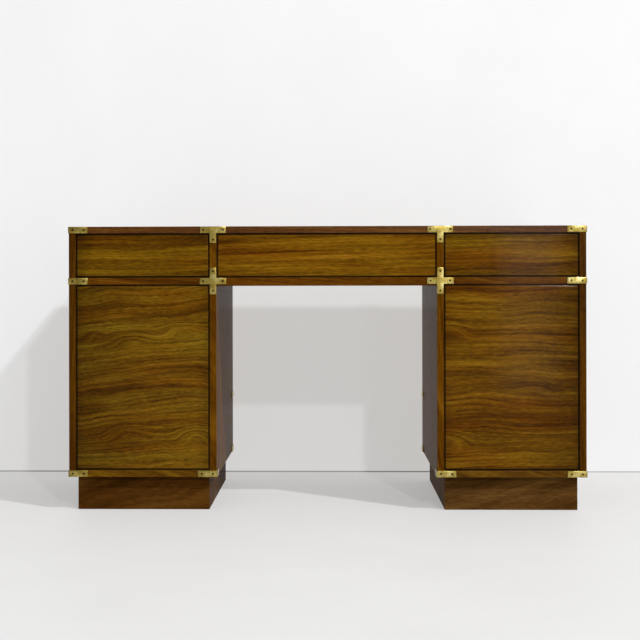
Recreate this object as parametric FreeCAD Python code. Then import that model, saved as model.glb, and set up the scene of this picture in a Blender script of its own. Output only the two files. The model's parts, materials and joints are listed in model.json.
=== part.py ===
import FreeCAD, Part
import os

# A kneehole campaign desk with a finished back. X runs along the desk, Y from the finished back
# to the drawer side and Z up, from an origin on the floor under the middle. Millimetres.

# Case
desk_width = 1372.0
desk_depth = 610.0
desk_height = 755.0
kneehole_width = 585.0
side_thickness = 17.5
top_thickness = 18.0
top_edging_width = 24.0
mid_rail_thickness = 17.5
centre_rail_drop = 4.0
drawer_rail_thickness = 17.5
rail_depth = 64.0
bottom_thickness = 17.5
top_row_opening = 118.5
low_drawer_opening = 149.0
kicker_width = 16.0
kicker_height = 16.0
kicker_back_gap = 20.0

# Plinths
plinth_height = 89.0
plinth_setback = 21.0
plinth_board = 19.0
plinth_block_leg = 45.0
plinth_block_height = 70.0

# Stub tenons of rails and bottoms
tenon_length = 7.0
tenon_shoulder_y = 13.0
tenon_shoulder_z = 5.0

# Back panels and dust panels
panel_recess = 2.0
panel_field_thickness = 4.5
panel_tongue_thickness = 6.0
panel_tongue_depth = 6.0
quirk_width = 4.4
dust_panel_thickness = 5.0
dust_panel_tongue = 6.0

# Chamfer round the faces of panel fields and drawer fronts
edge_ease = 1.0

# Drawers
front_gap = 2.0
front_thickness = 19.0
drawer_back_room = 87.5
box_side_gap = 7.0
box_side_thickness = 12.0
box_back_thickness = 12.0
box_bottom_thickness = 6.0
box_floor_gap = 6.0
box_headroom = 24.0
box_back_drop = 4.0
box_back_housing = 4.0
bottom_rise = 10.0
bottom_groove = 6.0
tail_pitch = 32.0
tail_length = 12.0
tail_flare = 1.8
tail_share = 0.56

# Drawer runners
runner_height = 12.0
runner_back_room = 66.5
runner_setback = 30.0
runner_rise = 32.0
runner_bite = 6.0
runner_end_clearance = 0.5
runner_seat_clearance = 0.3
runner_under_clearance = 0.7

# Flush pulls
plate_width = 92.0
plate_height = 54.0
plate_thickness = 1.6
cup_width = 74.0
cup_height = 38.0
cup_depth = 13.0
cup_wall = 1.4
cup_corner = 3.0
mortise_clearance = 0.5
bail_length = 24.0
bail_width = 5.5
bail_thickness = 4.0
bail_corner = 4.5
bail_side_gap = 1.5
pivot_drop = 6.5
pivot_depth = 4.5
pivot_radius = 1.3
pivot_clearance = 0.08
centre_pull_spacing = 290.0

# Brass straps
strap_width = 17.0
strap_thickness = 2.0
strap_leg = 50.0
tee_bar = 68.0
tee_height = 43.7
cross_length = 70.5

# One overrun for every cut that goes right through
overrun = 1.0

# Levels and spans that follow from the sizes above
case_top = desk_height - top_thickness
mid_rail_top = case_top - top_row_opening
mid_rail_base = mid_rail_top - mid_rail_thickness
pedestal_floor = plinth_height + bottom_thickness
drawer_rail_base = pedestal_floor + low_drawer_opening
drawer_rail_top = drawer_rail_base + drawer_rail_thickness
case_x = (-desk_width / 2, desk_width / 2)
case_y = (-desk_depth / 2, desk_depth / 2)
kneehole_x = (-kneehole_width / 2, kneehole_width / 2)
left_bay = (case_x[0] + side_thickness, kneehole_x[0] - side_thickness)
right_bay = (kneehole_x[1] + side_thickness, case_x[1] - side_thickness)
bays = {"left": left_bay, "centre": kneehole_x, "right": right_bay}
top_row_z = (mid_rail_top, case_top)
file_z = (drawer_rail_top, mid_rail_base)
low_z = (pedestal_floor, drawer_rail_base)
back_rail_y = (case_y[0], case_y[0] + rail_depth)
front_rail_y = (case_y[1] - rail_depth, case_y[1])
field_y = (case_y[0] + panel_recess, case_y[0] + panel_recess + panel_field_thickness)
tongue_y = (field_y[1], field_y[1] + panel_tongue_thickness)
front_face_y = case_y[1] - panel_recess
front_back_y = front_face_y - front_thickness
box_back_y = tongue_y[1] + drawer_back_room
runner_y = (tongue_y[1] + runner_back_room, front_back_y - runner_setback)
plate_face_y = front_face_y + plate_thickness
cup_floor_y = plate_face_y - cup_depth
pivot_y = plate_face_y - pivot_depth

origin = FreeCAD.Vector(0, 0, 0)
along_x = FreeCAD.Vector(1, 0, 0)
along_y = FreeCAD.Vector(0, 1, 0)
along_z = FreeCAD.Vector(0, 0, 1)


def grown(span, amount):
    return (span[0] - amount, span[1] + amount)


def about(middle, size):
    return (middle - size / 2, middle + size / 2)


def middle_of(span):
    return (span[0] + span[1]) / 2


def block(x, y, z):
    corner = FreeCAD.Vector(x[0], y[0], z[0])
    return Part.makeBox(x[1] - x[0], y[1] - y[0], z[1] - z[0], corner)


def prism(points, direction):
    wire = Part.makePolygon(points + points[:1])
    return Part.Face(wire).extrude(direction)


def rounded_block(x, y, z, radius):
    # A block with its four edges along Y rounded
    solid = block(x, y, z)
    edges = [edge for edge in solid.Edges if edge.BoundBox.YLength > edge.BoundBox.XLength + edge.BoundBox.ZLength]
    return solid.makeFillet(radius, edges)


def eased_block(x, y, z, face_y):
    # A block with a chamfer round its face at face_y
    solid = block(x, y, z)
    eased = min(solid.Faces, key=lambda face: abs(face.CenterOfMass.y - face_y))
    return solid.makeChamfer(edge_ease, eased.Edges)


def joined(first, *others):
    return first.fuse(list(others)).removeSplitter()


def both_ends(shape):
    return [shape, shape.mirror(origin, along_x)]


def all_corners(shape):
    return both_ends(shape) + both_ends(shape.mirror(origin, along_y))


def save(node, shapes):
    solids = [solid for shape in shapes for solid in shape.Solids]
    whole = solids[0] if len(solids) == 1 else Part.makeCompound(solids)
    whole.exportStep(os.path.join("parts", node + ".step"))


# Case joinery


def tenoned_board(x, y, z):
    # A rail or bottom with a stub tenon at each end, shouldered on all four faces
    tenon_y = grown(y, -tenon_shoulder_y)
    tenon_z = grown(z, -tenon_shoulder_z)
    return joined(block(x, y, z), block(grown(x, tenon_length), tenon_y, tenon_z))


def fielded_panel(x, z):
    # A thin tongue all round sits in grooves, and the raised field stands a quirk away from the frame
    tongue = block(grown(x, panel_tongue_depth), tongue_y, grown(z, panel_tongue_depth))
    field = eased_block(grown(x, -quirk_width), field_y, grown(z, -quirk_width), field_y[0])
    return joined(tongue, field)


def dust_panel(x):
    y = grown((back_rail_y[1], front_rail_y[0]), dust_panel_tongue)
    z = about(middle_of((mid_rail_base, mid_rail_top)), dust_panel_thickness)
    return block(grown(x, dust_panel_tongue), y, z)


def mitred_frame(x, y, z, board):
    # Four boards round a rectangle, mitred at its corners
    inner_x = grown(x, -board)
    inner_y = grown(y, -board)
    corners = ((0, 0), (1, 0), (1, 1), (0, 1))
    outer = [FreeCAD.Vector(x[i], y[j], z[0]) for i, j in corners]
    inner = [FreeCAD.Vector(inner_x[i], inner_y[j], z[0]) for i, j in corners]
    rise = along_z * (z[1] - z[0])
    return [prism([outer[i - 1], outer[i], inner[i], inner[i - 1]], rise) for i in range(len(corners))]


def plinth_spans(x):
    return grown(x, -plinth_setback), grown(case_y, -plinth_setback)


def plinth_blocks(x):
    # Three-cornered glue blocks that tie the mitres to the pedestal bottom
    plinth_x, plinth_y = plinth_spans(x)
    rise = along_z * plinth_block_height
    base_z = plinth_height - plinth_block_height
    blocks = []
    for corner_x, step_x in ((plinth_x[0] + plinth_board, 1), (plinth_x[1] - plinth_board, -1)):
        for corner_y, step_y in ((plinth_y[0] + plinth_board, 1), (plinth_y[1] - plinth_board, -1)):
            corner = FreeCAD.Vector(corner_x, corner_y, base_z)
            x_leg = along_x * (step_x * plinth_block_leg)
            y_leg = along_y * (step_y * plinth_block_leg)
            blocks.append(prism([corner, corner + x_leg, corner + y_leg], rise))
    return blocks


def beside_walls(bay, width, y, z):
    # A strip on each of the two walls of a bay
    return [block((bay[0], bay[0] + width), y, z), block((bay[1] - width, bay[1]), y, z)]


def kickers(bay):
    y = (tongue_y[1] + kicker_back_gap, front_back_y - front_gap)
    return beside_walls(bay, kicker_width, y, (case_top - kicker_height, case_top))


def runner_z(opening):
    base = opening[0] + box_floor_gap + runner_rise
    return (base, base + runner_height)


def runners(bay, opening):
    return beside_walls(bay, box_side_gap + runner_bite, runner_y, runner_z(opening))


# Drawers


def drawer_side(x, z, runner_slot):
    # The profile carries its dovetails, and the stopped slot hangs the drawer on its runner
    tails = max(1, int((z[1] - z[0]) // tail_pitch))
    pitch = (z[1] - z[0]) / tails
    half_base = pitch * tail_share / 2
    half_tip = half_base + tail_flare
    tip_y = front_back_y + tail_length
    outline = [(box_back_y, z[1]), (box_back_y, z[0]), (front_back_y, z[0])]
    for tail in range(tails):
        middle = z[0] + tail * pitch + pitch / 2
        outline.append((front_back_y, middle - half_base))
        outline.append((tip_y, middle - half_tip))
        outline.append((tip_y, middle + half_tip))
        outline.append((front_back_y, middle + half_base))
    outline.append((front_back_y, z[1]))
    points = [FreeCAD.Vector(x[0], y, height) for y, height in outline]
    return prism(points, along_x * (x[1] - x[0])).cut(runner_slot)


def drawer_box(bay, opening):
    outer = grown(bay, -box_side_gap)
    inner = grown(outer, -box_side_thickness)
    z = (opening[0] + box_floor_gap, opening[1] - box_headroom)
    bottom_z = (z[0] + bottom_rise, z[0] + bottom_rise + box_bottom_thickness)
    bottom_y = (box_back_y, front_back_y + bottom_groove)
    bottom = block(grown(inner, bottom_groove), bottom_y, bottom_z)
    back_y = (box_back_y, box_back_y + box_back_thickness)
    back = block(grown(inner, box_back_housing), back_y, (bottom_z[1], z[1] - box_back_drop))
    slot_y = (box_back_y - overrun, runner_y[1] + runner_seat_clearance)
    slot_base, slot_top = runner_z(opening)
    slot_z = (slot_base - runner_under_clearance, slot_top + runner_seat_clearance)
    slot_depth = runner_bite + runner_end_clearance
    left_slot = block((outer[0] - overrun, outer[0] + slot_depth), slot_y, slot_z)
    right_slot = block((outer[1] - slot_depth, outer[1] + overrun), slot_y, slot_z)
    left = drawer_side((outer[0], inner[0]), z, left_slot).cut([bottom, back])
    right = drawer_side((inner[1], outer[1]), z, right_slot).cut([bottom, back])
    return [left, right, back, bottom]


def drawer_front(bay, opening, box, pull_places):
    y = (front_back_y, front_face_y)
    board = eased_block(grown(bay, -front_gap), y, grown(opening, -front_gap), front_face_y)
    mortises = [pull_mortise(x, z) for x, z in pull_places]
    return board.cut(box + mortises)


# Flush pulls: a pressed cup with a flange, and a bail that hangs in it on two pins


def cup_outside(x, z, margin):
    width = about(x, cup_width + cup_wall * 2)
    height = about(z, cup_height + cup_wall * 2)
    y = (cup_floor_y - cup_wall - margin, front_face_y)
    return block(grown(width, margin), y, grown(height, margin))


def pull_mortise(x, z):
    return cup_outside(x, z, mortise_clearance)


def pull_pivot_z(z):
    return z + cup_height / 2 - pivot_drop


def cross_pin(x, z, radius):
    start = FreeCAD.Vector(x[0], pivot_y, pull_pivot_z(z))
    return Part.makeCylinder(radius, x[1] - x[0], start, along_x)


def pull_plate(x, z):
    flange = block(about(x, plate_width), (front_face_y, plate_face_y), about(z, plate_height))
    hollow_y = (cup_floor_y, plate_face_y + overrun)
    hollow = rounded_block(about(x, cup_width), hollow_y, about(z, cup_height), cup_corner)
    pivot_bore = cross_pin(about(x, cup_width + cup_wall * 2), z, pivot_radius + pivot_clearance)
    return joined(flange, cup_outside(x, z, 0)).cut([hollow, pivot_bore])


def pull_bail(x, z):
    # A flat bar bent to a U, with a pin through each end into the cup's wall
    pivot_z = pull_pivot_z(z)
    outside = about(x, cup_width - bail_side_gap * 2)
    inside = grown(outside, -bail_width)
    walls = about(x, cup_width + cup_wall * 2)
    y = about(pivot_y, bail_thickness)
    end_z = pivot_z + bail_thickness / 2
    low_z = pivot_z - bail_length
    bow = rounded_block(outside, y, (low_z, end_z + bail_corner), bail_corner)
    above = block(grown(outside, overrun), grown(y, overrun), (end_z, end_z + bail_corner + overrun))
    gap = block(inside, grown(y, overrun), (low_z + bail_width, end_z + overrun))
    pins = [(walls[0], outside[0]), (outside[1], walls[1])]
    pivots = [cross_pin(pin, z, pivot_radius) for pin in pins]
    return joined(bow.cut([above, gap]), *pivots)


# Brass straps, each drawn at the left end of the back and mirrored to the rest


def corner_strap(corner_x, z_middle):
    # An L round the upright edge at corner_x, bent to a round on the outside, facing -X and -Y
    z = about(z_middle, strap_width)
    corner = FreeCAD.Vector(corner_x, case_y[0], z[0])
    face_out = along_y * -strap_thickness
    side_out = along_x * -strap_thickness
    face_end = corner + along_x * strap_leg
    side_end = corner + along_y * strap_leg
    bend_middle = corner + (face_out + side_out).normalize() * strap_thickness
    bend = Part.Arc(corner + side_out, bend_middle, corner + face_out).toShape()
    outside = Part.makePolygon([corner + face_out, face_end + face_out, face_end, corner])
    inside = Part.makePolygon([corner, side_end, side_end + side_out, corner + side_out])
    outline = Part.Wire([bend] + outside.Edges + inside.Edges)
    return Part.Face(outline).extrude(along_z * strap_width)


def flat_strap(bars):
    # Crossing bars of one plate on the back face, each given by its X and Z spans
    y = (case_y[0] - strap_thickness, case_y[0])
    return joined(*[block(x, y, z) for x, z in bars])


def tee_strap():
    x = kneehole_x[0] - side_thickness / 2
    bar_z = about(middle_of((case_top, desk_height)), strap_width)
    leg_z = (bar_z[1] - tee_height, bar_z[1])
    return flat_strap([(about(x, tee_bar), bar_z), (about(x, strap_width), leg_z)])


def cross_strap():
    x = kneehole_x[0] - side_thickness / 2
    z = middle_of((mid_rail_base, mid_rail_top))
    across = (about(x, cross_length), about(z, strap_width))
    upright = (about(x, strap_width), about(z, cross_length))
    return flat_strap([across, upright])


def corner_straps():
    bottom_z = middle_of((plinth_height, pedestal_floor))
    mid_z = middle_of((mid_rail_base, mid_rail_top))
    top_z = middle_of((case_top, desk_height))
    drawer_rail_z = middle_of((drawer_rail_base, drawer_rail_top))
    straps = []
    for z in (top_z, mid_z, bottom_z):
        straps += all_corners(corner_strap(case_x[0], z))
    straps += all_corners(corner_strap(kneehole_x[1], bottom_z))
    for corner_x in (case_x[0], kneehole_x[1]):
        straps += both_ends(corner_strap(corner_x, drawer_rail_z).mirror(origin, along_y))
    return straps


# Build


def build_case():
    back_panels = {"centre_back_panel": fielded_panel(kneehole_x, top_row_z)}
    mid_rails = {}
    drawer_rails = {}
    bottoms = {}
    dust_panels = []
    for name, bay in bays.items():
        base = mid_rail_base - centre_rail_drop if name == "centre" else mid_rail_base
        rails = [tenoned_board(bay, y, (base, mid_rail_top)) for y in (back_rail_y, front_rail_y)]
        mid_rails[name + "_mid_rails"] = rails
    for name in ("left", "right"):
        bay = bays[name]
        back_panels[name + "_upper_back_panel"] = fielded_panel(bay, top_row_z)
        back_panels[name + "_lower_back_panel"] = fielded_panel(bay, (pedestal_floor, mid_rail_base))
        drawer_rails[name + "_drawer_rail"] = tenoned_board(bay, front_rail_y, (drawer_rail_base, drawer_rail_top))
        bottoms[name + "_pedestal_bottom"] = tenoned_board(bay, case_y, (plinth_height, pedestal_floor))
        dust_panels.append(dust_panel(bay))
    panels = list(back_panels.values())
    housed = panels + dust_panels + list(drawer_rails.values()) + list(bottoms.values())
    for rails in mid_rails.values():
        housed += rails
    side_z = (plinth_height, case_top)
    outer_left = block((case_x[0], left_bay[0]), case_y, side_z).cut(housed)
    inner_left = block((left_bay[1], kneehole_x[0]), case_y, side_z).cut(housed)
    inner_right = block((kneehole_x[1], right_bay[0]), case_y, side_z).cut(housed)
    outer_right = block((right_bay[1], case_x[1]), case_y, side_z).cut(housed)
    save("left_outer_side", [outer_left])
    save("left_inner_side", [inner_left])
    save("right_inner_side", [inner_right])
    save("right_outer_side", [outer_right])
    for node, panel in back_panels.items():
        save(node, [panel])
    for node, rails in mid_rails.items():
        save(node, [rail.cut(panels + dust_panels) for rail in rails])
    for node, rail in drawer_rails.items():
        save(node, [rail])
    for node, bottom in bottoms.items():
        save(node, [bottom.cut(panels)])
    save("dust_panels", dust_panels)
    top_z = (case_top, desk_height)
    edging = mitred_frame(case_x, case_y, top_z, top_edging_width)
    save("desk_top", [block(grown(case_x, -top_edging_width), grown(case_y, -top_edging_width), top_z)])
    save("desk_top_edging", [strip.cut(panels) for strip in edging])


def build_plinths():
    pedestals = {"left": (case_x[0], kneehole_x[0]), "right": (kneehole_x[1], case_x[1])}
    blocks = []
    for name, x in pedestals.items():
        plinth_x, plinth_y = plinth_spans(x)
        save(name + "_plinth", mitred_frame(plinth_x, plinth_y, (0, plinth_height), plinth_board))
        blocks += plinth_blocks(x)
    save("plinth_corner_blocks", blocks)


def build_runners():
    strips = []
    for name, bay in bays.items():
        openings = [top_row_z] if name == "centre" else [top_row_z, file_z, low_z]
        save(name + "_drawer_runners", [runner for opening in openings for runner in runners(bay, opening)])
        strips += kickers(bay)
    save("top_kickers", strips)


def build_drawers():
    drawers = {
        "left_upper": (left_bay, top_row_z),
        "centre": (kneehole_x, top_row_z),
        "right_upper": (right_bay, top_row_z),
        "left_file": (left_bay, file_z),
        "right_file": (right_bay, file_z),
        "left_low": (left_bay, low_z),
        "right_low": (right_bay, low_z),
    }
    for name, (bay, opening) in drawers.items():
        middle = middle_of(bay)
        pull_z = middle_of(opening)
        pulls = {name: middle}
        if name == "centre":
            pulls = dict(zip(("centre_left", "centre_right"), about(middle, centre_pull_spacing)))
        places = [(x, pull_z) for x in pulls.values()]
        box = drawer_box(bay, opening)
        save(name + "_drawer_box", box)
        save(name + "_drawer_front", [drawer_front(bay, opening, box, places)])
        save(name + "_pull_plate", [pull_plate(x, pull_z) for x in pulls.values()])
        for pull, x in pulls.items():
            save(pull + "_pull_bail", [pull_bail(x, pull_z)])


def build_straps():
    save("tee_straps", all_corners(tee_strap()))
    save("cross_straps", all_corners(cross_strap()))
    save("corner_straps", corner_straps())


os.makedirs("parts", exist_ok=True)
build_case()
build_plinths()
build_runners()
build_drawers()
build_straps()
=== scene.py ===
import bpy
import json
import math
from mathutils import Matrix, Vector

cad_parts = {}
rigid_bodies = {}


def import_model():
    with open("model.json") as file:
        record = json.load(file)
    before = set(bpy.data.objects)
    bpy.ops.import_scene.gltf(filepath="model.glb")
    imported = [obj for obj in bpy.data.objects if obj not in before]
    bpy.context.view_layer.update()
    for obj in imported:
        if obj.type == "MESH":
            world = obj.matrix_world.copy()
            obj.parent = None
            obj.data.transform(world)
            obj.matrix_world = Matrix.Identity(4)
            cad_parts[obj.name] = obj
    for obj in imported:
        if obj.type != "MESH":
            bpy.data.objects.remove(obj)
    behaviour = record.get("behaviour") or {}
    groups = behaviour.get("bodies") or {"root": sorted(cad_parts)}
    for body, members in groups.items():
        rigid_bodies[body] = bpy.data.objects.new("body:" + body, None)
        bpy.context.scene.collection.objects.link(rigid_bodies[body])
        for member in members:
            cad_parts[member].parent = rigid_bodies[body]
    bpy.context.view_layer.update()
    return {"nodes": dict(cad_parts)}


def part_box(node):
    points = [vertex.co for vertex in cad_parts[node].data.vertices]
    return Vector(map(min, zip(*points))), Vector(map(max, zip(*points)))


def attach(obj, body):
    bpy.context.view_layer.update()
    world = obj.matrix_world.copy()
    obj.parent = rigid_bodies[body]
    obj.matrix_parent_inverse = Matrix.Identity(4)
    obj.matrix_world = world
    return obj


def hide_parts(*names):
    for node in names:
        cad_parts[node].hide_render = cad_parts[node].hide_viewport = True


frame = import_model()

nodes = frame["nodes"]
scene = bpy.context.scene
for stray in ("Cube", "Light", "Camera"):
    if stray in bpy.data.objects:
        bpy.data.objects.remove(bpy.data.objects[stray])
bpy.ops.object.select_all(action="DESELECT")  # the import leaves every node selected
print("frame in:", len(nodes), "nodes")


def midHeight(name):
    low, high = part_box(name)
    return (low.z + high.z) / 2


# edges of the case that the brass and the materials are set out from
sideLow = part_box("left_outer_side")[0]
kneeLow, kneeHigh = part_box("left_inner_side")
edgeX = -sideLow.x  # outer faces of the pedestals
kneeX = -kneeHigh.x  # faces of the kneehole
stileX = -(kneeLow.x + kneeHigh.x) / 2  # middle of the stiles beside the kneehole
faceY = -sideLow.y
topZ = midHeight("desk_top")
midZ = midHeight("left_mid_rails")
railZ = midHeight("left_drawer_rail")
bottomZ = midHeight("left_pedestal_bottom")


def startMaterial(name):
    material = bpy.data.materials.new(name)
    material.use_nodes = True
    tree = material.node_tree
    return material, tree, tree.nodes["Principled BSDF"]


def setInputs(tree, node, inputs):
    # another node's socket is linked, a plain value is set
    for socket, value in inputs.items():
        if isinstance(value, bpy.types.NodeSocket):
            tree.links.new(value, node.inputs[socket])
        else:
            node.inputs[socket].default_value = value


def addNode(tree, kind, inputs=None, **options):
    node = tree.nodes.new(kind)
    for option, value in options.items():
        setattr(node, option, value)
    setInputs(tree, node, inputs or {})
    return node


def addMath(tree, operation, *values):
    return addNode(tree, "ShaderNodeMath", dict(enumerate(values)), operation=operation).outputs[0]


def addVector(tree, operation, *values):
    node = addNode(tree, "ShaderNodeVectorMath", dict(enumerate(values)), operation=operation)
    return node.outputs["Value" if operation == "LENGTH" else "Vector"]


def addScaled(tree, vector, scale):
    node = addNode(tree, "ShaderNodeVectorMath", {0: vector, "Scale": scale}, operation="SCALE")
    return node.outputs["Vector"]


def addRange(tree, value, span, result, **options):
    # what runs over the span comes out as the result
    ends = {"From Min": span[0], "From Max": span[1], "To Min": result[0], "To Max": result[1]}
    return addNode(tree, "ShaderNodeMapRange", {"Value": value, **ends}, **options).outputs["Result"]


def addRamp(tree, value, stops):
    node = addNode(tree, "ShaderNodeValToRGB", {"Fac": value})
    elements = node.color_ramp.elements
    while len(elements) < len(stops):
        elements.new(0.5)
    for element, (position, colour) in zip(elements, stops):
        element.position = position
        element.color = (*colour, 1.0)
    return node.outputs["Color"]


def addOverlay(tree, share, base, over):
    # 6, 7 and 2 are the mix node's sockets for colours
    mix = addNode(tree, "ShaderNodeMix", {0: share, 6: base, 7: (*over, 1.0)}, data_type="RGBA")
    return mix.outputs[2]


def addNoise(tree, vector, scale, detail=2.0, roughness=0.5, output="Fac"):
    # noise stretched by a scale of its own along each axis
    space = addNode(tree, "ShaderNodeMapping", {"Vector": vector, "Scale": scale})
    settings = {"Scale": 1.0, "Detail": detail, "Roughness": roughness}
    noise = addNode(tree, "ShaderNodeTexNoise", {"Vector": space.outputs["Vector"], **settings})
    return noise.outputs[output]


def addBump(tree, height, look):
    settings = {"Strength": look["bump"], "Distance": look["relief"]}
    return addNode(tree, "ShaderNodeBump", {"Height": height, **settings}).outputs["Normal"]


noiseMiddle = 0.5
noiseSpan = (0.3, 0.7)  # nearly all of a noise lies in here
nodeGrid = {"column": 200, "row": 260}


def layOut(tree):
    # nodes in columns, by how many steps they are from the output
    wires = [(wire.from_node.name, wire.to_node.name) for wire in tree.links]
    steps = {node.name: 0 for node in tree.nodes}
    for _ in steps:
        for source, target in wires:
            steps[source] = max(steps[source], steps[target] + 1)
    filled = {}
    for node in tree.nodes:
        column = steps[node.name]
        row = filled.get(column, 0)
        filled[column] = row + 1
        node.location = (-nodeGrid["column"] * column, -nodeGrid["row"] * row)


def turnGrain(tree, xyz, look):
    # the board's own space, with X along its grain
    orders = {"X": "XYZ", "Y": "YXZ", "Z": "ZYX"}

    def grainAlong(axis):
        sources = {i: xyz.outputs[source] for i, source in enumerate(orders[axis])}
        return addNode(tree, "ShaderNodeCombineXYZ", sources).outputs[0]

    grain = grainAlong(look["grain"])
    if "ends" in look:  # boards across the others take their grain along Y
        ends = look["ends"]
        away = addMath(tree, "SUBTRACT", addMath(tree, "ABSOLUTE", xyz.outputs["X"]), ends["middle"])
        away = addMath(tree, "ABSOLUTE", away)
        if ends["mitred"]:
            away = addMath(tree, "SUBTRACT", away, addMath(tree, "ABSOLUTE", xyz.outputs["Y"]))
        isEnd = addMath(tree, "GREATER_THAN", away, ends["from"])
        # 4, 5 and 1 are the mix node's sockets for vectors
        chosen = addNode(tree, "ShaderNodeMix", {0: isEnd, 4: grain, 5: grainAlong("Y")}, data_type="VECTOR")
        grain = chosen.outputs[1]
    return addNode(tree, "ShaderNodeMapping", {"Vector": grain, "Location": look["shift"]}).outputs[0]


def bendGrain(tree, grain, look):
    # the lines of the grain wander up and down along the board
    slow = addNoise(tree, grain, look["wanderScale"], detail=2.5, output="Color")
    centred = addVector(tree, "SUBTRACT", slow, (noiseMiddle,) * 3)
    sized = addVector(tree, "MULTIPLY", centred, (0.0, look["wander"], look["wander"]))
    return addVector(tree, "ADD", grain, sized)


def unrollRings(tree, place, bent, look):
    # rings round a pith that runs nearly along the board, cut by its face into arches and stripes
    cut = {"Location": look["pith"], "Rotation": look["tilt"]}
    log = addNode(tree, "ShaderNodeMapping", {"Vector": bent, **cut})
    rings = addVector(tree, "LENGTH", addVector(tree, "MULTIPLY", log.outputs[0], (0.0, 1.0, 1.0)))
    for x, z, long, high, swell in look.get("eyes", ()):  # places where the rings swell into an eye
        oval = addVector(tree, "SUBTRACT", place, (x, 0.0, z))
        oval = addVector(tree, "MULTIPLY", oval, (1 / long, 0.0, 1 / high))
        away = addVector(tree, "LENGTH", oval)
        lens = addRange(tree, away, (0.0, 1.0), (swell, 0.0), interpolation_type="SMOOTHSTEP")
        rings = addMath(tree, "ADD", rings, lens)
    run = addNode(tree, "ShaderNodeSeparateXYZ", {0: bent})
    return addNode(tree, "ShaderNodeCombineXYZ", {0: run.outputs["X"], 1: rings}).outputs[0]


def shadeEdges(tree, xyz, cloud, colour, look):
    # the colour is made darker towards the edges of a panel
    across = addMath(tree, "ABSOLUTE", xyz.outputs["X"])
    sway = addRange(tree, cloud, noiseSpan, (-look["sway"], look["sway"]))
    shade = None
    for side, edge, reach, depth in look["shades"]:
        along = across if side in ("outer", "inner") else xyz.outputs["Z"]
        ends = (edge, along) if side in ("outer", "top") else (along, edge)
        inward = addMath(tree, "ADD", addMath(tree, "SUBTRACT", *ends), sway)
        fall = addRange(tree, inward, (0.0, reach), (1.0 - depth, 1.0))
        shade = fall if shade is None else addMath(tree, "MULTIPLY", fall, shade)
    return addScaled(tree, colour, shade)


def paintGrooveShade(tree, xyz, colour, look):
    # painted shade: the sunk margin round a panel is coloured dark, where shadow falls in the recess
    near, far = look["groove"]
    behind = addMath(tree, "GREATER_THAN", xyz.outputs["Y"], near)
    before = addMath(tree, "LESS_THAN", xyz.outputs["Y"], far)
    sunk = addMath(tree, "MULTIPLY", addMath(tree, "MULTIPLY", behind, before), look["grooveStain"])
    return addOverlay(tree, sunk, colour, look["grooveColour"])


def makeWood(name, look):
    wood, tree, shader = startMaterial(name)
    place = addNode(tree, "ShaderNodeTexCoord").outputs["Object"]
    xyz = addNode(tree, "ShaderNodeSeparateXYZ", {0: place})
    grain = turnGrain(tree, xyz, look)
    bent = bendGrain(tree, grain, look)
    unrolled = unrollRings(tree, place, bent, look)
    bands = addNoise(tree, unrolled, (look["bandRun"], look["bands"], 1.0), detail=3.0)
    lines = addNoise(tree, unrolled, (look["lineRun"], look["lines"], 1.0))
    veins = addNoise(tree, unrolled, (look["veinRun"], look["veins"], 1.0))
    fibre = addNoise(tree, bent, look["flecks"])
    pores = addNoise(tree, bent, look["pores"], detail=1.0)
    cloud = addNoise(tree, bent, look["cloudScale"])

    # figure to colour
    broad = addMath(tree, "MULTIPLY", bands, look["bandShare"])
    fine = addMath(tree, "MULTIPLY", lines, look["lineShare"])
    thread = addMath(tree, "MULTIPLY", fibre, look["fibreShare"])
    figure = addMath(tree, "ADD", addMath(tree, "ADD", broad, fine), thread)
    shares = look["bandShare"] + look["lineShare"] + look["fibreShare"]
    figure = addMath(tree, "ADD", figure, noiseMiddle * (1 - shares))
    colour = addRamp(tree, figure, look["tones"])
    tints = addRamp(tree, cloud, list(zip(look["cloudSpan"], look["clouds"])))
    colour = addVector(tree, "MULTIPLY", colour, tints)
    poreMask = addRange(tree, pores, look["poreSpan"], (0.0, look["poreDepth"]))
    colour = addOverlay(tree, poreMask, colour, look["poreColour"])
    # a few long dark growth lines that fade in and out
    nearVein = addMath(tree, "ABSOLUTE", addMath(tree, "SUBTRACT", veins, noiseMiddle))
    thin = addRange(tree, nearVein, (0.0, look["veinWidth"]), (look["veinDepth"], 0.0))
    fade = addRange(tree, cloud, look["veinFade"], (0.0, 1.0))
    colour = addOverlay(tree, addMath(tree, "MULTIPLY", thin, fade), colour, look["poreColour"])
    if "rub" in look:  # arrises rubbed paler in patches
        patches = addNoise(tree, grain, look["patches"], detail=3.0)
        patchMask = addRange(tree, patches, look["patchSpan"], look["rub"])
        colour = addOverlay(tree, patchMask, colour, look["rubColour"])
    if "shades" in look:
        colour = shadeEdges(tree, xyz, cloud, colour, look)
    # painted shade darkens the sunk margin round a back panel
    if "groove" in look:
        colour = paintGrooveShade(tree, xyz, colour, look)

    # lacquer: sheen varies with the fibre, and the pores print through it
    relief = addMath(tree, "ADD", addMath(tree, "MULTIPLY", poreMask, -1.0), thread)
    setInputs(tree, shader, {
        "Base Color": colour, "Roughness": addRange(tree, fibre, noiseSpan, look["roughness"]),
        "Normal": addBump(tree, relief, look), "Specular IOR Level": look["specular"],
    })
    layOut(tree)
    return wood


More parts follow.
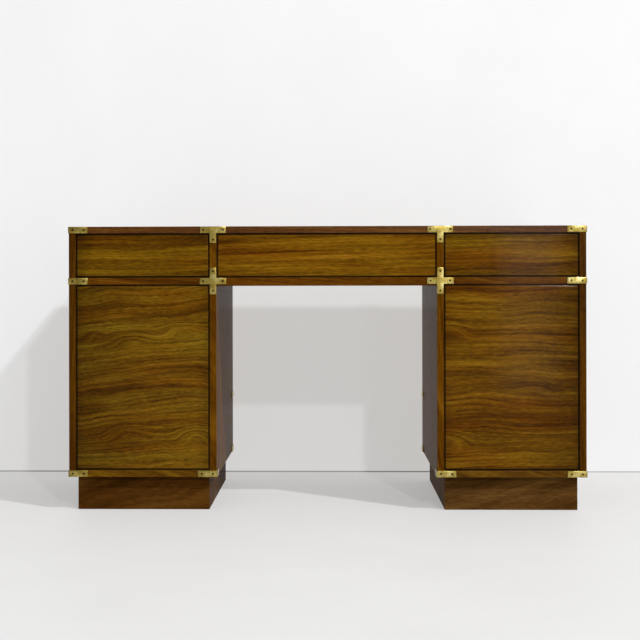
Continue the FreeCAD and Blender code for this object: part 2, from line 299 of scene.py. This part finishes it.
# walnut veneer of the panels, drawer fronts and top; scales are waves per metre, along the grain first
panelLook = {
    "grain": "X", "shift": (0.0, 0.0, 0.0), "pith": (0.0, 0.36, -0.42), "tilt": (0.0, 0.0, 0.10),
    "wander": 0.034, "wanderScale": (2.4, 6.0, 6.0),
    "bands": 40.0, "bandRun": 1.0, "bandShare": 0.95,
    "lines": 140.0, "lineRun": 3.2, "lineShare": 0.80,
    "flecks": (50.0, 430.0, 430.0), "fibreShare": 0.60,
    "veins": 20.0, "veinRun": 0.6, "veinWidth": 0.016, "veinDepth": 0.7, "veinFade": (0.58, 0.42),
    "cloudScale": (2.2, 24.0, 24.0), "cloudSpan": (0.34, 0.66),
    "clouds": ((0.85, 0.67, 0.50), (1.05, 1.14, 1.25)),
    "tones": (
        (0.16, (0.032, 0.0112, 0.0005)),
        (0.36, (0.072, 0.0290, 0.0009)),
        (0.52, (0.116, 0.0500, 0.0013)),
        (0.68, (0.164, 0.0760, 0.0024)),
        (0.88, (0.240, 0.1220, 0.0080)),
    ),
    "pores": (45.0, 1500.0, 1500.0), "poreSpan": (0.60, 0.72), "poreDepth": 0.55,
    "poreColour": (0.022, 0.0080, 0.0004),
    "patches": (18.0, 30.0, 30.0), "patchSpan": (0.40, 0.62), "rubColour": (0.240, 0.1200, 0.0260),
    "roughness": (0.06, 0.10), "bump": 0.10, "relief": 0.0003, "specular": 0.03,
}


def toned(look, red, green, blue):
    return tuple((position, (red * r, green * g, blue * b)) for position, (r, g, b) in look["tones"])


def edgeFalls(name, **sides):
    # for each side of a panel, how far in and how deep the colour darkens
    tongue = 0.0065  # hidden behind the frame
    low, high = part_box(name)
    edges = {
        "outer": max(abs(low.x), abs(high.x)) - tongue, "inner": min(abs(low.x), abs(high.x)) + tongue,
        "top": high.z - tongue, "bottom": low.z + tongue,
    }
    return [(side, edges[side], reach, depth) for side, falls in sides.items() for reach, depth in falls]


# the sunk margin of the back panels, which takes painted shade, and how far their edge darkening sways
marginDepth = (0.0023, 0.0068)  # behind the face of the case
backLook = {
    "groove": [depth - faceY for depth in marginDepth],
    "grooveColour": (0.006, 0.0028, 0.0005), "grooveStain": 0.65, "sway": 0.006,
}
# where each leaf of veneer was cut from the log; an eye is its x, z, half length, half height and swell
leaves = {
    "left_lower_back_panel": {
        **backLook, "shift": (0.66, 0.0, 0.0), "pith": (0.0, 0.38, -0.95), "tilt": (0.0, 0.03, 0.05),
        "wander": 0.075, "wanderScale": (3.4, 4.5, 4.5), "tones": toned(panelLook, 1.25, 1.40, 2.2),
        "bandShare": 0.58, "bandRun": 2.6, "veinDepth": 0.5,
        "eyes": (
            (-0.385, 0.484, 0.085, 0.032, 0.026), (-0.525, 0.458, 0.075, 0.034, 0.018),
            (-0.625, 0.472, 0.050, 0.026, 0.018), (-0.530, 0.212, 0.090, 0.036, 0.022),
            (-0.345, 0.205, 0.080, 0.036, 0.024),
        ),
        "shades": edgeFalls(
            "left_lower_back_panel",
            outer=((0.19, 0.40), (0.022, 0.22)), inner=((0.035, 0.32),), bottom=((0.012, 0.2),),
        ),
    },
    "right_lower_back_panel": {
        **backLook, "shift": (-0.31, 0.0, 0.30), "pith": (0.0, 0.33, -1.30), "tilt": (0.0, -0.02, 0.05),
        "wander": 0.060, "wanderScale": (3.0, 5.0, 5.0), "tones": toned(panelLook, 1.10, 1.05, 1.2),
        "lineShare": 0.72, "bandRun": 2.4, "veinDepth": 0.55,
        "eyes": (
            (0.325, 0.476, 0.085, 0.036, 0.026), (0.318, 0.190, 0.085, 0.040, 0.034),
            (0.555, 0.330, 0.080, 0.028, 0.014),
        ),
        "shades": edgeFalls(
            "right_lower_back_panel",
            outer=((0.14, 0.46), (0.022, 0.24)), inner=((0.025, 0.20),), bottom=((0.012, 0.2),),
        ),
    },
    "upper_back_panels": {
        **backLook, "shift": (0.13, 0.0, 0.10), "pith": (0.0, 0.35, -1.40), "tilt": (0.0, 0.02, 0.03),
        "tones": toned(panelLook, 1.16, 1.17, 1.1), "bandShare": 0.80, "lineShare": 0.65,
        "shades": edgeFalls(
            "left_upper_back_panel",
            outer=((0.05, 0.46),), inner=((0.05, 0.16),), top=((0.034, 0.46),), bottom=((0.028, 0.42),),
        ),
    },
    "centre_back_panel": {
        **backLook, "shift": (0.43, 0.0, 0.20), "pith": (0.0, 0.35, -1.40), "tilt": (0.0, 0.03, 0.03),
        "tones": toned(panelLook, 1.36, 1.33, 1.4), "bandShare": 0.75, "lineShare": 0.60, "wander": 0.02,
        "shades": edgeFalls(
            "centre_back_panel", outer=((0.10, 0.12),), top=((0.020, 0.40),), bottom=((0.016, 0.22),),
        ),
    },
    "drawer_fronts": {
        "shift": (0.37, 0.0, 0.0), "pith": (0.0, -0.245, -0.39), "tilt": (0.0, 0.01, 0.08),
        "tones": toned(panelLook, 1.1, 1.1, 1.1), "roughness": (0.12, 0.18),
    },
    "desk_top": {
        "shift": (0.21, 0.0, 0.0), "pith": (0.0, -0.07, -0.68), "tilt": (0.0, 0.02, 0.03),
        "bandShare": 0.70, "roughness": (0.24, 0.34),
    },
}
# plainer, redder stock of the rails, sides, top edging, pedestal bottoms and plinths
railLook = {
    **panelLook, "shift": (0.7, 0.3, 0.2), "wander": 0.02, "bands": 80.0, "lines": 260.0, "veinDepth": 0.3,
    "clouds": ((0.76, 0.70, 0.60), (1.05, 1.08, 1.15)),
    "tones": (
        (0.18, (0.036, 0.0095, 0.0005)),
        (0.42, (0.078, 0.0240, 0.0009)),
        (0.60, (0.114, 0.0390, 0.0014)),
        (0.85, (0.168, 0.0650, 0.0040)),
    ),
    "rubColour": (0.220, 0.0950, 0.0250), "roughness": (0.08, 0.14),
}
sideLook = {
    **railLook, "grain": "Z", "shift": (5.8, 0.5, 0.9), "wander": 0.03, "bands": 60.0, "lines": 190.0,
    "tones": (
        (0.18, (0.048, 0.0150, 0.0008)),
        (0.42, (0.095, 0.0330, 0.0013)),
        (0.60, (0.132, 0.0495, 0.0019)),
        (0.85, (0.181, 0.0740, 0.0054)),
    ),
    "roughness": (0.11, 0.17), "specular": 0.0003,
}
outerSideLook = {
    **sideLook, "shift": (0.9, 0.1, 0.3), "tones": toned(sideLook, 0.68, 0.66, 0.4),
    "bandShare": 0.75, "roughness": (0.18, 0.26), "specular": 0.02,
}
# painted sheen: the bottom of the right pedestal is toned bluer, standing in for the whitish glint along its
# front; the left one has its own lighter tones
bottomLook = {**railLook, "shift": (0.15, 0.6, 0.5), "tones": toned(railLook, 1.16, 1.58, 2.4)}
leftBottomLook = {**bottomLook, "tones": toned(railLook, 1.54, 2.12, 2.2)}
edgingLook = {
    **railLook, "shift": (1.3, 0.1, 0.4), "specular": 0.16, "roughness": (0.22, 0.32),
    "ends": {"middle": 0.0, "mitred": True, "from": edgeX - faceY},
}
plinthLow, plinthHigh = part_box("left_plinth")
plinthLook = {
    **railLook, "shift": (0.4, 0.9, 0.1), "bands": 34.0, "lines": 150.0, "wander": 0.035,
    "ends": {
        "middle": -(plinthLow.x + plinthHigh.x) / 2, "mitred": True,
        "from": (plinthHigh.x - plinthLow.x) / 2 - plinthHigh.y,
    },
    "tones": (
        (0.18, (0.035, 0.0120, 0.0016)),
        (0.42, (0.066, 0.0240, 0.0036)),
        (0.60, (0.095, 0.0370, 0.0054)),
        (0.85, (0.139, 0.0580, 0.0100)),
    ),
    "rubColour": (0.160, 0.0700, 0.0200), "roughness": (0.22, 0.34), "specular": 0.0006,
}
# painted light and sheen: the right plinth is toned lighter and bluer than the left, standing in for the
# light and whitish sheen it takes from the right
rightPlinthSheenLook = {**plinthLook, "tones": toned(plinthLook, 1.28, 1.55, 2.4)}
# pale secondary wood inside
innerLook = {
    **panelLook, "grain": "Y", "shift": (0.1, 0.2, 0.6), "wander": 0.03, "bands": 45.0, "lines": 240.0,
    "clouds": ((0.94, 0.94, 0.92), (1.04, 1.05, 1.06)),
    "tones": (
        (0.15, (0.330, 0.2000, 0.0950)),
        (0.50, (0.420, 0.2750, 0.1450)),
        (0.85, (0.520, 0.3650, 0.2150)),
    ),
    "poreColour": (0.220, 0.1200, 0.0500), "poreDepth": 0.35,
    "roughness": (0.48, 0.62), "bump": 0.35, "specular": 0.3,
}
boxSide = 0.012  # thickness of a drawer's sides
boxLow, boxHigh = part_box("left_upper_drawer_box")
pedestalBoxLook = {
    **innerLook, "grain": "X",
    "ends": {
        "middle": -(boxLow.x + boxHigh.x) / 2, "mitred": False,
        "from": (boxHigh.x - boxLow.x) / 2 - boxSide,
    },
}
centreBoxLook = {
    **innerLook, "grain": "X",
    "ends": {"middle": 0.0, "mitred": False, "from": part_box("centre_drawer_box")[1].x - boxSide},
}
arrisRub = (0.1, 0.25)  # how far the arrises go to the rub colour, least and most


def makePair(name, look):
    # the wood, and the same wood rubbed along its arrises
    return makeWood(name, look), makeWood(name + "Arris", {**look, "rub": arrisRub})


veneers = {leaf: makePair("veneer_" + leaf, {**panelLook, **cut}) for leaf, cut in leaves.items()}
railWood = makePair("railWood", railLook)
sideWood = makePair("sideWood", sideLook)
outerSideWood = makePair("outerSideWood", outerSideLook)
bottomWood = makePair("bottomWood", bottomLook)
leftBottomWood = makePair("leftBottomWood", leftBottomLook)
edgingWood = makePair("edgingWood", edgingLook)
plinthWood = makePair("plinthWood", plinthLook)
rightPlinthWood = makePair("rightPlinthWood", rightPlinthSheenLook)
innerWood = makeWood("innerWood", innerLook)
pedestalBoxWood = makeWood("pedestalBoxWood", pedestalBoxLook)
centreBoxWood = makeWood("centreBoxWood", centreBoxLook)
print("woods made")


def makeBrass(name, look):
    brass, tree, shader = startMaterial(name)
    place = addNode(tree, "ShaderNodeTexCoord").outputs["Object"]
    brush = addNoise(tree, place, look["brush"])
    tarnish = addNoise(tree, place, look["tarnish"], detail=4.0, roughness=0.6)
    spots = addNoise(tree, place, look["spotScale"])
    # painted light: the brass is coloured duller towards the left end of the desk and brighter to the right,
    # where the room is lighter
    along = addNode(tree, "ShaderNodeSeparateXYZ", {0: place})
    age = addRange(tree, along.outputs["X"], (-edgeX, edgeX), look["age"])
    polishAndSideLight = addMath(tree, "ADD", addMath(tree, "MULTIPLY", brush, look["brushShare"]), tarnish)
    polishAndSideLight = addMath(tree, "ADD", polishAndSideLight, age)
    spotMask = addRange(tree, spots, look["spotSpan"], (0.0, look["spotDepth"]))
    colour = addOverlay(tree, spotMask, addRamp(tree, polishAndSideLight, look["tones"]), look["spotColour"])
    setInputs(tree, shader, {
        "Base Color": colour, "Roughness": addRange(tree, polishAndSideLight, look["polishSpan"], look["roughness"]),
        "Normal": addBump(tree, brush, look), "Metallic": 1.0,
    })
    layOut(tree)
    return brass


brassLook = {
    "brush": (160.0, 160.0, 1400.0), "brushShare": 0.25, "tarnish": (46.0, 46.0, 46.0), "age": (-0.08, 0.03),
    "tones": (
        (0.36, (0.180, 0.122, 0.020)),
        (0.60, (0.350, 0.262, 0.058)),
        (0.85, (0.680, 0.590, 0.250)),
    ),
    "spotScale": (420.0, 420.0, 420.0), "spotSpan": (0.66, 0.78), "spotDepth": 0.5,
    "spotColour": (0.16, 0.10, 0.03),
    "polishSpan": (0.35, 0.85), "roughness": (0.42, 0.24), "bump": 0.25, "relief": 0.0001,
}
screwLook = {
    **brassLook,
    "tones": (
        (0.40, (0.030, 0.020, 0.006)),
        (0.62, (0.055, 0.038, 0.011)),
        (0.85, (0.110, 0.080, 0.026)),
    ),
    "spotDepth": 0.3, "spotColour": (0.02, 0.015, 0.008), "roughness": (0.58, 0.42),
}
strapBrass = makeBrass("strapBrass", brassLook)
pullBrass = makeBrass("pullBrass", {**brassLook, "brush": (1400.0, 160.0, 160.0)})
screwBrass = makeBrass("screwBrass", screwLook)
print("brass made")

# every CAD node keeps its shape and gets eased edges and its finish
finishes = {
    "desk_top": veneers["desk_top"],
    "desk_top_edging": edgingWood,
    "centre_back_panel": veneers["centre_back_panel"],
    "left_lower_back_panel": veneers["left_lower_back_panel"],
    "right_lower_back_panel": veneers["right_lower_back_panel"],
    "left_pedestal_bottom": leftBottomWood,
    "right_plinth": rightPlinthWood,
    "plinth_corner_blocks": (innerWood,),
    "dust_panels": (innerWood,),
    "top_kickers": (innerWood,),
    "centre_drawer_box": (centreBoxWood,),
}
endings = {
    "_outer_side": outerSideWood,
    "_inner_side": sideWood,
    "_back_panel": veneers["upper_back_panels"],
    "_drawer_front": veneers["drawer_fronts"],
    "_mid_rails": railWood,
    "_drawer_rail": railWood,
    "_pedestal_bottom": bottomWood,
    "_plinth": plinthWood,
    "_drawer_box": (pedestalBoxWood,),
    "_drawer_runners": (innerWood,),
    "_pull_plate": (pullBrass,),
    "_pull_bail": (pullBrass,),
    "_straps": (strapBrass,),
}
easing = {
    "weld": 0.00001, "flat": math.radians(0.5), "angle": math.radians(30),
    "width": 0.0006, "steps": 2, "plateWidth": 0.0004, "bailWidth": 0.0012, "bailSteps": 3,
}
for name, node in nodes.items():
    finish = finishes.get(name) or next(fits for ending, fits in endings.items() if name.endswith(ending))
    node.data.materials.clear()
    for material in finish:
        node.data.materials.append(material)
    weld = node.modifiers.new("weld", "WELD")
    weld.merge_threshold = easing["weld"]
    flat = node.modifiers.new("flat", "DECIMATE")
    flat.decimate_type = "DISSOLVE"
    flat.angle_limit = easing["flat"]
    ease = node.modifiers.new("ease", "BEVEL")
    ease.width = easing["width"]
    ease.segments = easing["steps"]
    if name.endswith("_pull_plate"):
        ease.width = easing["plateWidth"]
    if name.endswith("_pull_bail"):
        ease.width = easing["bailWidth"]
        ease.segments = easing["bailSteps"]
    ease.limit_method = "ANGLE"
    ease.angle_limit = easing["angle"]
    ease.use_clamp_overlap = False
    ease.material = len(finish) - 1  # the arris wood, where there is one
print("nodes finished")


def pick(*objs):
    bpy.ops.object.select_all(action="DESELECT")
    for obj in objs:
        obj.select_set(True)
    bpy.context.view_layer.objects.active = objs[-1]


def selectFaces(obj, wanted):
    bpy.ops.object.mode_set(mode="EDIT")
    bpy.ops.mesh.select_mode(type="FACE")
    bpy.ops.mesh.select_all(action="DESELECT")
    bpy.ops.object.mode_set(mode="OBJECT")
    for face in obj.data.polygons:
        face.select = wanted(face)
    bpy.ops.object.mode_set(mode="EDIT")


def settle(obj):
    # the place, turn and scale go into the mesh
    pick(obj)
    bpy.ops.object.transform_apply(location=True, rotation=True, scale=True)


def addBar(name, size, middle):
    bpy.ops.object.select_all(action="DESELECT")
    bpy.ops.mesh.primitive_cube_add(size=1, location=middle)
    bar = bpy.context.active_object
    bar.name = name
    bar.scale = size
    settle(bar)
    return bar


def addCone(sides, top, foot, depth, middle, turn):
    bpy.ops.object.select_all(action="DESELECT")
    bpy.ops.mesh.primitive_cone_add(
        vertices=sides, radius1=top, radius2=foot, depth=depth, location=middle, rotation=turn,
    )
    return bpy.context.active_object


def cutWith(obj, cutter):
    pick(obj)
    cut = obj.modifiers.new("cut", "BOOLEAN")
    cut.operation = "DIFFERENCE"
    cut.solver = "EXACT"
    cut.object = cutter
    bpy.ops.object.modifier_apply(modifier=cut.name)
    bpy.data.objects.remove(cutter)


def joinAll(objs):
    pick(*objs)
    bpy.ops.object.join()
    return bpy.context.active_object


def copyTo(source, name, at, turn):
    pick(source)
    bpy.ops.object.duplicate(linked=False)
    copy = bpy.context.active_object
    copy.name = name
    copy.rotation_euler = turn
    copy.location = at
    settle(copy)
    return copy


def smoothOver(obj, brass):
    pick(obj)
    bpy.ops.object.shade_smooth_by_angle(angle=smoothAngle)
    obj.data.materials.append(brass)


quarter = math.pi / 2
smoothAngle = math.radians(35)
square = 0.9  # a face whose normal goes past this looks along the axis

# slotted screw, its head looking towards -Y from the origin
screw = {
    "top": 0.0028, "foot": 0.0014, "depth": 0.0015, "sides": 12, "crownInset": 0.0009, "crownRise": 0.00018,
    "slot": (0.01, 0.0012, 0.0008), "slotMiddle": (0, -0.0002, 0),
}
screwMaster = addCone(
    screw["sides"], screw["top"], screw["foot"], screw["depth"], (0, screw["depth"] / 2, 0), (-quarter, 0, 0),
)
screwMaster.name = "screw"
settle(screwMaster)
selectFaces(screwMaster, lambda face: face.normal.y < -square)
bpy.ops.mesh.inset(thickness=screw["crownInset"])  # a low crown on the head
bpy.ops.transform.translate(value=(0, -screw["crownRise"], 0))
bpy.ops.object.mode_set(mode="OBJECT")
cutWith(screwMaster, addBar("slot", screw["slot"], screw["slotMiddle"]))
smoothOver(screwMaster, screwBrass)


def seatScrew(at, facing, slotTurns, i, size=1.0):
    # the slot turns first, so that no two slots of a piece line up
    start, step = slotTurns
    turned = copyTo(screwMaster, "screw", (0, 0, 0), (0, math.radians(start + step * i), 0))
    turned.scale = (size,) * 3
    turned.rotation_euler = (0, 0, facing)
    turned.location = at
    settle(turned)
    return turned


strap = {
    "width": 0.0170, "thick": 0.002, "leg": 0.050, "cornerSteps": 6, "weld": 0.000001,
    "teeBar": 0.0680, "teeDrop": 0.0437, "crossReach": 0.0705,
    "legHoles": (0.0100, 0.0394), "teeHole": 0.0263, "teeLegHole": 0.0350, "crossHole": 0.0258,
    "holeTop": 0.0031, "holeFoot": 0.0015, "holeDepth": 0.0024, "holeSides": 24,
    "sunk": 0.00035, "slotTurns": (25, 67),
    "arris": 0.00035, "arrisSteps": 2, "arrisAngle": math.radians(40),
}
halfWidth = strap["width"] / 2
thick = strap["thick"]


def finishStrap(master, holes):
    # holes are (x, y, z, on the side) on the strap's outer faces
    pick(master)
    ease = master.modifiers.new("ease", "BEVEL")
    ease.width = strap["arris"]
    ease.segments = strap["arrisSteps"]
    ease.limit_method = "ANGLE"
    ease.angle_limit = strap["arrisAngle"]
    bpy.ops.object.modifier_apply(modifier=ease.name)
    cutters = []
    screws = []
    for i, (x, y, z, onSide) in enumerate(holes):
        into = Vector((1, 0, 0)) if onSide else Vector((0, 1, 0))
        lean = (0, quarter, 0) if onSide else (-quarter, 0, 0)
        face = Vector((x, y, z))
        halfway = face + into * thick / 2
        cutters.append(addCone(
            strap["holeSides"], strap["holeTop"], strap["holeFoot"], strap["holeDepth"], halfway, lean,
        ))
        seat = face + into * strap["sunk"]
        screws.append(seatScrew(seat, -quarter if onSide else 0, strap["slotTurns"], i))
    cutWith(master, joinAll(cutters))
    smoothOver(master, strapBrass)
    return joinAll(screws + [master])


# corner strap: a leg on the face, spun round the corner and drawn out along the side
cornerMaster = addBar("cornerStrap", (strap["leg"], thick, strap["width"]), (strap["leg"] / 2, -thick / 2, 0))
selectFaces(cornerMaster, lambda face: face.normal.x < -square)
bpy.ops.mesh.spin(steps=strap["cornerSteps"], angle=quarter, center=(0, 0, 0), axis=(0, 0, 1))
bpy.ops.mesh.extrude_region_move(TRANSFORM_OT_translate={"value": (0, strap["leg"], 0)})
bpy.ops.mesh.select_all(action="SELECT")
bpy.ops.mesh.remove_doubles(threshold=strap["weld"])
bpy.ops.mesh.normals_make_consistent(inside=False)
bpy.ops.object.mode_set(mode="OBJECT")
legHoles = [(along, -thick, 0, False) for along in strap["legHoles"]]
legHoles += [(-thick, along, 0, True) for along in strap["legHoles"]]
cornerMaster = finishStrap(cornerMaster, legHoles)


def addCrossbar(name, length):
    bar = addBar(name, (length, thick, strap["width"]), (0, -thick / 2, 0))
    for x in (-halfWidth, halfWidth):
        bpy.ops.object.mode_set(mode="EDIT")
        bpy.ops.mesh.select_all(action="SELECT")
        bpy.ops.mesh.bisect(plane_co=(x, 0, 0), plane_no=(1, 0, 0))
        bpy.ops.object.mode_set(mode="OBJECT")
    return bar


def drawArm(bar, way, length):
    selectFaces(bar, lambda face: face.normal.z * way > square and abs(face.center.x) < halfWidth / 2)
    bpy.ops.mesh.extrude_region_move(TRANSFORM_OT_translate={"value": (0, 0, way * length)})
    bpy.ops.object.mode_set(mode="OBJECT")


teeMaster = addCrossbar("teeStrap", strap["teeBar"])
drawArm(teeMaster, -1, strap["teeDrop"] - strap["width"])
teeHoles = [(x, -thick, 0, False) for x in (-strap["teeHole"], strap["teeHole"])]
teeHoles.append((0, -thick, halfWidth - strap["teeLegHole"], False))
teeMaster = finishStrap(teeMaster, teeHoles)

crossMaster = addCrossbar("crossStrap", strap["crossReach"])
for way in (-1, 1):
    drawArm(crossMaster, way, (strap["crossReach"] - strap["width"]) / 2)
reach = strap["crossHole"]
crossHoles = [(x, -thick, z, False) for x, z in ((-reach, 0), (reach, 0), (0, -reach), (0, reach))]
crossMaster = finishStrap(crossMaster, crossHoles)

# places of the corner straps: corner, height and the way they face
corners = {(-1, -1): 0, (1, -1): quarter, (1, 1): 2 * quarter, (-1, 1): 3 * quarter}
places = []
for (wayX, wayY), turn in corners.items():
    places += [(wayX * edgeX, wayY * faceY, z, turn) for z in (topZ, midZ, bottomZ)]
    places.append((-wayX * kneeX, wayY * faceY, bottomZ, turn))
    if wayY > 0:
        places += [(x, faceY, railZ, turn) for x in (wayX * edgeX, -wayX * kneeX)]
brasses = []
for i, (x, y, z, turn) in enumerate(places):
    piece = copyTo(cornerMaster, "corner_strap_%02d" % (i + 1), (x, y, z), (0, 0, turn))
    brasses.append((piece, "corner_straps"))
faces = [(x, y, 0 if y < 0 else math.pi) for y in (-faceY, faceY) for x in (-stileX, stileX)]
for i, (x, y, turn) in enumerate(faces):
    piece = copyTo(teeMaster, "tee_strap_%d" % (i + 1), (x, y, topZ), (0, 0, turn))
    brasses.append((piece, "tee_straps"))
    piece = copyTo(crossMaster, "cross_strap_%d" % (i + 1), (x, y, midZ), (0, 0, turn))
    brasses.append((piece, "cross_straps"))
for piece, node in brasses:
    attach(piece, "case")
    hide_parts(node)
print("straps on:", len(brasses))

# four screws in the flange of each pull
flange = {"screwX": 0.0415, "screwZ": 0.0230, "proud": 0.0004, "size": 0.85, "slotTurns": (40, 53)}
bails = [name for name in nodes if name.endswith("_pull_bail")]
for name in bails:
    drawer = "centre" if name.startswith("centre") else name.replace("_pull_bail", "")
    bailLow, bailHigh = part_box(name)
    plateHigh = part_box(drawer + "_pull_plate")[1]
    middleX = (bailLow.x + bailHigh.x) / 2
    middleZ = midHeight(drawer + "_pull_plate")
    four = []
    for i, (wayX, wayZ) in enumerate(((-1, -1), (1, -1), (1, 1), (-1, 1))):
        x = middleX + wayX * flange["screwX"]
        z = middleZ + wayZ * flange["screwZ"]
        seat = (x, plateHigh.y + flange["proud"], z)
        four.append(seatScrew(seat, math.pi, flange["slotTurns"], i, flange["size"]))
    piece = joinAll(four)
    piece.name = name.replace("_pull_bail", "_pull_screws")
    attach(piece, drawer + "_drawer")
for master in (screwMaster, cornerMaster, teeMaster, crossMaster):
    bpy.data.objects.remove(master)
print("pull screws in")

# floor, wall behind and a strip at its foot that is a painted shadow line; own is a glow that only the camera
# and
# mirror surfaces see, so it whitens the background and lights nothing
stageLook = {
    "floor": {"colour": (0.40, 0.40, 0.40), "own": 0.35, "ownTint": (1.0, 0.99, 0.97)},
    "wall": {"colour": (0.41, 0.42, 0.44), "own": 0.49, "ownTint": (1.0, 0.98, 0.95)},
    "gap": {"colour": (0.40, 0.40, 0.39), "own": 0.10, "ownTint": (1.0, 1.0, 1.0)},
    "mottle": (3.0, 3.0, 3.0), "mottleShade": (0.97, 1.03), "roughness": 0.6, "specular": 0.2,
    "wallY": 0.467, "reach": 9.0, "wallHeight": 4.0, "gapHeight": 0.0036, "gapProud": 0.0005,
}


def makePale(name, look, clearBehind):
    pale, tree, shader = startMaterial(name)
    place = addNode(tree, "ShaderNodeTexCoord").outputs["Object"]
    mottle = addNoise(tree, place, stageLook["mottle"], detail=5.0, roughness=0.6)
    shade = addRange(tree, mottle, noiseSpan, stageLook["mottleShade"])
    rays = addNode(tree, "ShaderNodeLightPath")
    seen = addMath(tree, "ADD", rays.outputs["Is Camera Ray"], rays.outputs["Is Glossy Ray"])
    seen = addMath(tree, "ADD", seen, rays.outputs["Is Transmission Ray"])
    setInputs(tree, shader, {
        "Base Color": addScaled(tree, look["colour"], shade),
        "Roughness": stageLook["roughness"], "Specular IOR Level": stageLook["specular"],
        "Emission Color": (*look["ownTint"], 1.0),
        "Emission Strength": addMath(tree, "MULTIPLY", seen, look["own"]),
    })
    if clearBehind:  # so that the drawer side can be seen
        back = addNode(tree, "ShaderNodeNewGeometry").outputs["Backfacing"]
        clear = addNode(tree, "ShaderNodeBsdfTransparent").outputs[0]
        blend = addNode(tree, "ShaderNodeMixShader", {0: back, 1: shader.outputs[0], 2: clear})
        tree.links.new(blend.outputs[0], tree.nodes["Material Output"].inputs["Surface"])
    layOut(tree)
    return pale


def addPlane(name, paint, height, middle, turn):
    bpy.ops.object.select_all(action="DESELECT")
    bpy.ops.mesh.primitive_plane_add(size=1, location=middle, rotation=turn)
    plane = bpy.context.active_object
    plane.name = name
    plane.scale = (2 * stageLook["reach"], height, 1)
    settle(plane)
    plane.data.materials.append(paint)
    return plane


upright = (quarter, 0, 0)
wallMiddle = (0, stageLook["wallY"], stageLook["wallHeight"] / 2)
footShadowMiddle = (0, stageLook["wallY"] - stageLook["gapProud"], stageLook["gapHeight"] / 2)
floorPaint = makePale("floorPaint", stageLook["floor"], False)
wallPaint = makePale("wallPaint", stageLook["wall"], True)
gapShade = makePale("gapShade", stageLook["gap"], True)
floor = addPlane("floor", floorPaint, 2 * stageLook["reach"], (0, 0, 0), (0, 0, 0))
wall = addPlane("wall", wallPaint, stageLook["wallHeight"], wallMiddle, upright)
wall.visible_shadow = False
wall.visible_diffuse = False
# painted shadow: a dim strip along the foot of the wall, where the wall meets the floor
gap = addPlane("wallFoot", gapShade, stageLook["gapHeight"], footShadowMiddle, upright)
gap.visible_shadow = False
print("stage set")

# a high lamp at the right, a far one in front, two cards that show in the lacquer,
# and a fill for the drawer side
lamps = {
    "highRight": {"at": (8.75, -7.70, 11.90), "to": (0.0, 0.0, 0.45), "size": (0.6, 0.6), "watts": 1750.0},
    "farFront": {"at": (1.90, -7.40, 4.10), "to": (0.0, 0.0, 0.40), "size": (0.2, 0.2), "watts": 165.0},
    "card": {"at": (1.078, -4.10, 0.30), "to": (1.078, 0.0, 0.30), "size": (0.30, 0.60), "watts": 2.0},
    "cardTop": {"at": (1.078, -4.10, 0.90), "to": (1.078, 0.0, 0.90), "size": (0.30, 0.60), "watts": 4.0},
    "drawerSide": {"at": (-1.90, 3.60, 1.60), "to": (0.0, 0.30, 0.45), "size": (1.4, 0.8), "watts": 50.0},
}
for name, lamp in lamps.items():
    light = bpy.data.lights.new(name, "AREA")
    light.shape = "RECTANGLE"
    light.size, light.size_y = lamp["size"]
    light.energy = lamp["watts"]
    holder = bpy.data.objects.new(name, light)
    scene.collection.objects.link(holder)
    holder.location = lamp["at"]
    aim = Vector(lamp["to"]) - Vector(lamp["at"])
    holder.rotation_euler = aim.to_track_quat("-Z", "Y").to_euler()
    holder.visible_camera = False
# the fill lights the desk alone, so the floor keeps its shadows
lit = bpy.data.collections.new("desk")
for piece in scene.objects:
    if piece.type == "MESH" and piece not in (floor, wall, gap):
        lit.objects.link(piece)
scene.objects["drawerSide"].light_linking.receiver_collection = lit
# the room is lighter to the right
room = {"left": (0.34, 0.34, 0.34), "right": (0.72, 0.72, 0.73), "turn": (-0.5, 0.5)}
world = bpy.data.worlds.new("room")
world.use_nodes = True
tree = world.node_tree
facing = addNode(tree, "ShaderNodeTexCoord").outputs["Generated"]
across = addNode(tree, "ShaderNodeSeparateXYZ", {0: facing}).outputs["X"]
rightward = addRange(tree, across, room["turn"], (0.0, 1.0))
walls = addRamp(tree, rightward, ((0.0, room["left"]), (1.0, room["right"])))
setInputs(tree, tree.nodes["Background"], {"Color": walls})
layOut(tree)
scene.world = world
scene.view_settings.view_transform = "Standard"
print("lamps lit")

# camera set by the photograph's verticals, kneehole and floor line
shot = {
    "at": (0.0147, -3.9884, 0.5946), "turn": (90.0, 0.105, 1.402),
    "sensor": 36.0, "lens": 78.13, "shift": (0.0344, -0.0522),
}
camera = bpy.data.objects.new("shot", bpy.data.cameras.new("shot"))
scene.collection.objects.link(camera)
camera.location = shot["at"]
camera.rotation_euler = [math.radians(angle) for angle in shot["turn"]]
camera.data.sensor_width = shot["sensor"]
camera.data.lens = shot["lens"]
camera.data.shift_x, camera.data.shift_y = shot["shift"]
scene.camera = camera
